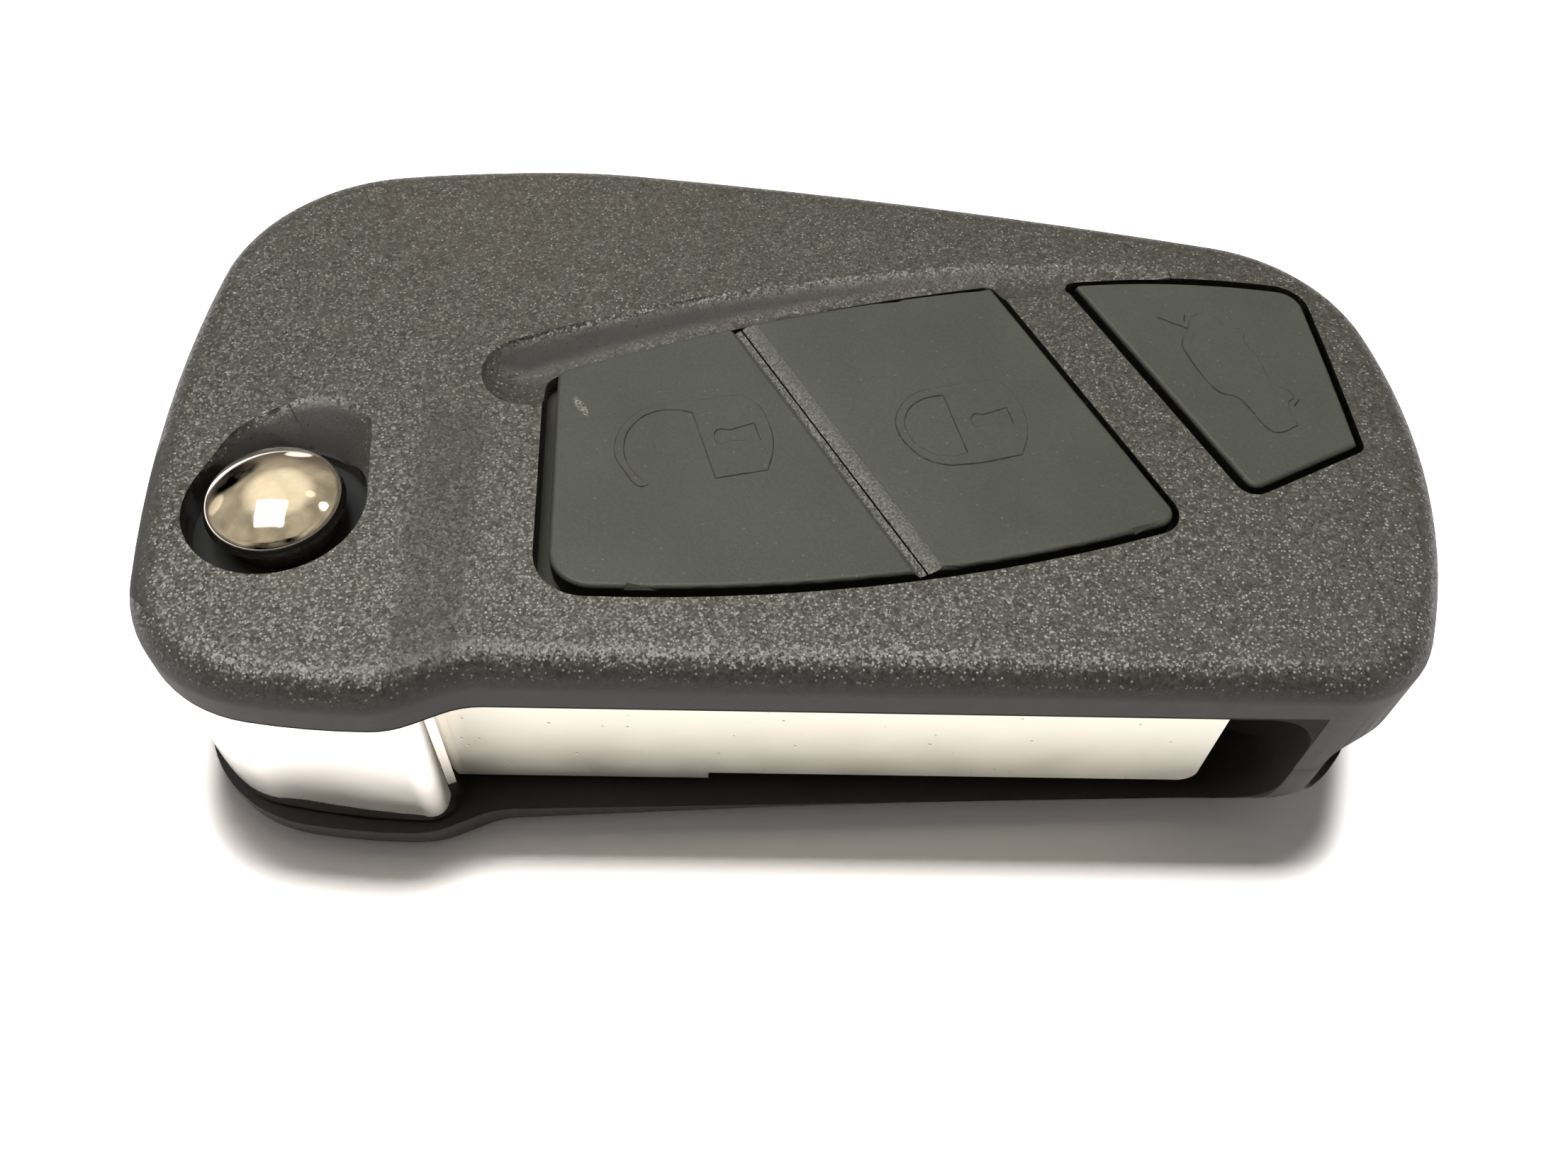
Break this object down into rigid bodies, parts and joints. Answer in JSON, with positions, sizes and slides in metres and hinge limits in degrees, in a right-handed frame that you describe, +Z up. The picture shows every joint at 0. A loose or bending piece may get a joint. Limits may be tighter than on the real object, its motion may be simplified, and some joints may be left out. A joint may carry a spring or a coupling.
{
  "type": "flip key remote shell",
  "caption": "Empty case of a flip key remote: a blade that folds into a slot, a chrome release button, rubber keys and a drawer for the circuit and its cell.",
  "frame": {"origin": "on the table under the middle of the case", "axes": "+X towards the keyring end, +Y away from the blade slot, +Z up through the keys"},
  "size_m": [0.074, 0.043, 0.0195],
  "materials": {
    "case_plastic": "black, fine spark-eroded texture with bright glints",
    "key_rubber": "matte black moulded rubber",
    "inner_plastic": "smooth black",
    "chrome_casting": "polished chrome plating",
    "blade_steel": "satin nickel plating with fine pits",
    "plated_steel": "bright zinc plating"
  },
  "bodies": {
    "case": {"upper_shell": "case_plastic", "lower_shell": "case_plastic", "keypad_membrane": "key_rubber", "circuit_drawer": "inner_plastic", "drawer_lid": "inner_plastic", "spring_seat": "plated_steel", "case_screws": "plated_steel"},
    "blade": {"flip_head": "chrome_casting", "key_blade": "blade_steel", "blade_pin": "plated_steel", "flip_spring": "plated_steel"},
    "release": {"release_cap": "chrome_casting", "release_plunger": "plated_steel"},
    "unlock_key": {"unlock_button": "key_rubber"},
    "lock_key": {"lock_button": "key_rubber"},
    "boot_key": {"boot_button": "key_rubber"},
    "lock_screw": {"drawer_lock": "plated_steel", "lock_cam": "plated_steel"}
  },
  "joints": [
    {"name": "blade_flip", "type": "hinge", "parent": "case", "child": "blade", "pos_m": [-0.0286, -0.0093, 0], "axis": [0, 0, 1], "range_deg": [-180, 0]},
    {"name": "release_press", "type": "slide", "parent": "blade", "child": "release", "axis": [0, 0, -1], "range_m": [0, 0.0018], "stiffness_N_per_m": 1500, "springref_m": -0.001, "deforming": ["flip_spring"]},
    {"name": "unlock_press", "type": "slide", "parent": "case", "child": "unlock_key", "axis": [0, 0, -1], "range_m": [0, 0.00055], "stiffness_N_per_m": 3000, "springref_m": -0.0002},
    {"name": "lock_press", "type": "slide", "parent": "case", "child": "lock_key", "axis": [0, 0, -1], "range_m": [0, 0.00055], "stiffness_N_per_m": 3000, "springref_m": -0.0002},
    {"name": "boot_press", "type": "slide", "parent": "case", "child": "boot_key", "axis": [0, 0, -1], "range_m": [0, 0.00055], "stiffness_N_per_m": 3000, "springref_m": -0.0002},
    {"name": "drawer_lock_turn", "type": "hinge", "parent": "case", "child": "lock_screw", "pos_m": [-0.0103, -0.0134, 0.0084], "axis": [0, 1, 0], "range_deg": [0, 90]}
  ]
}
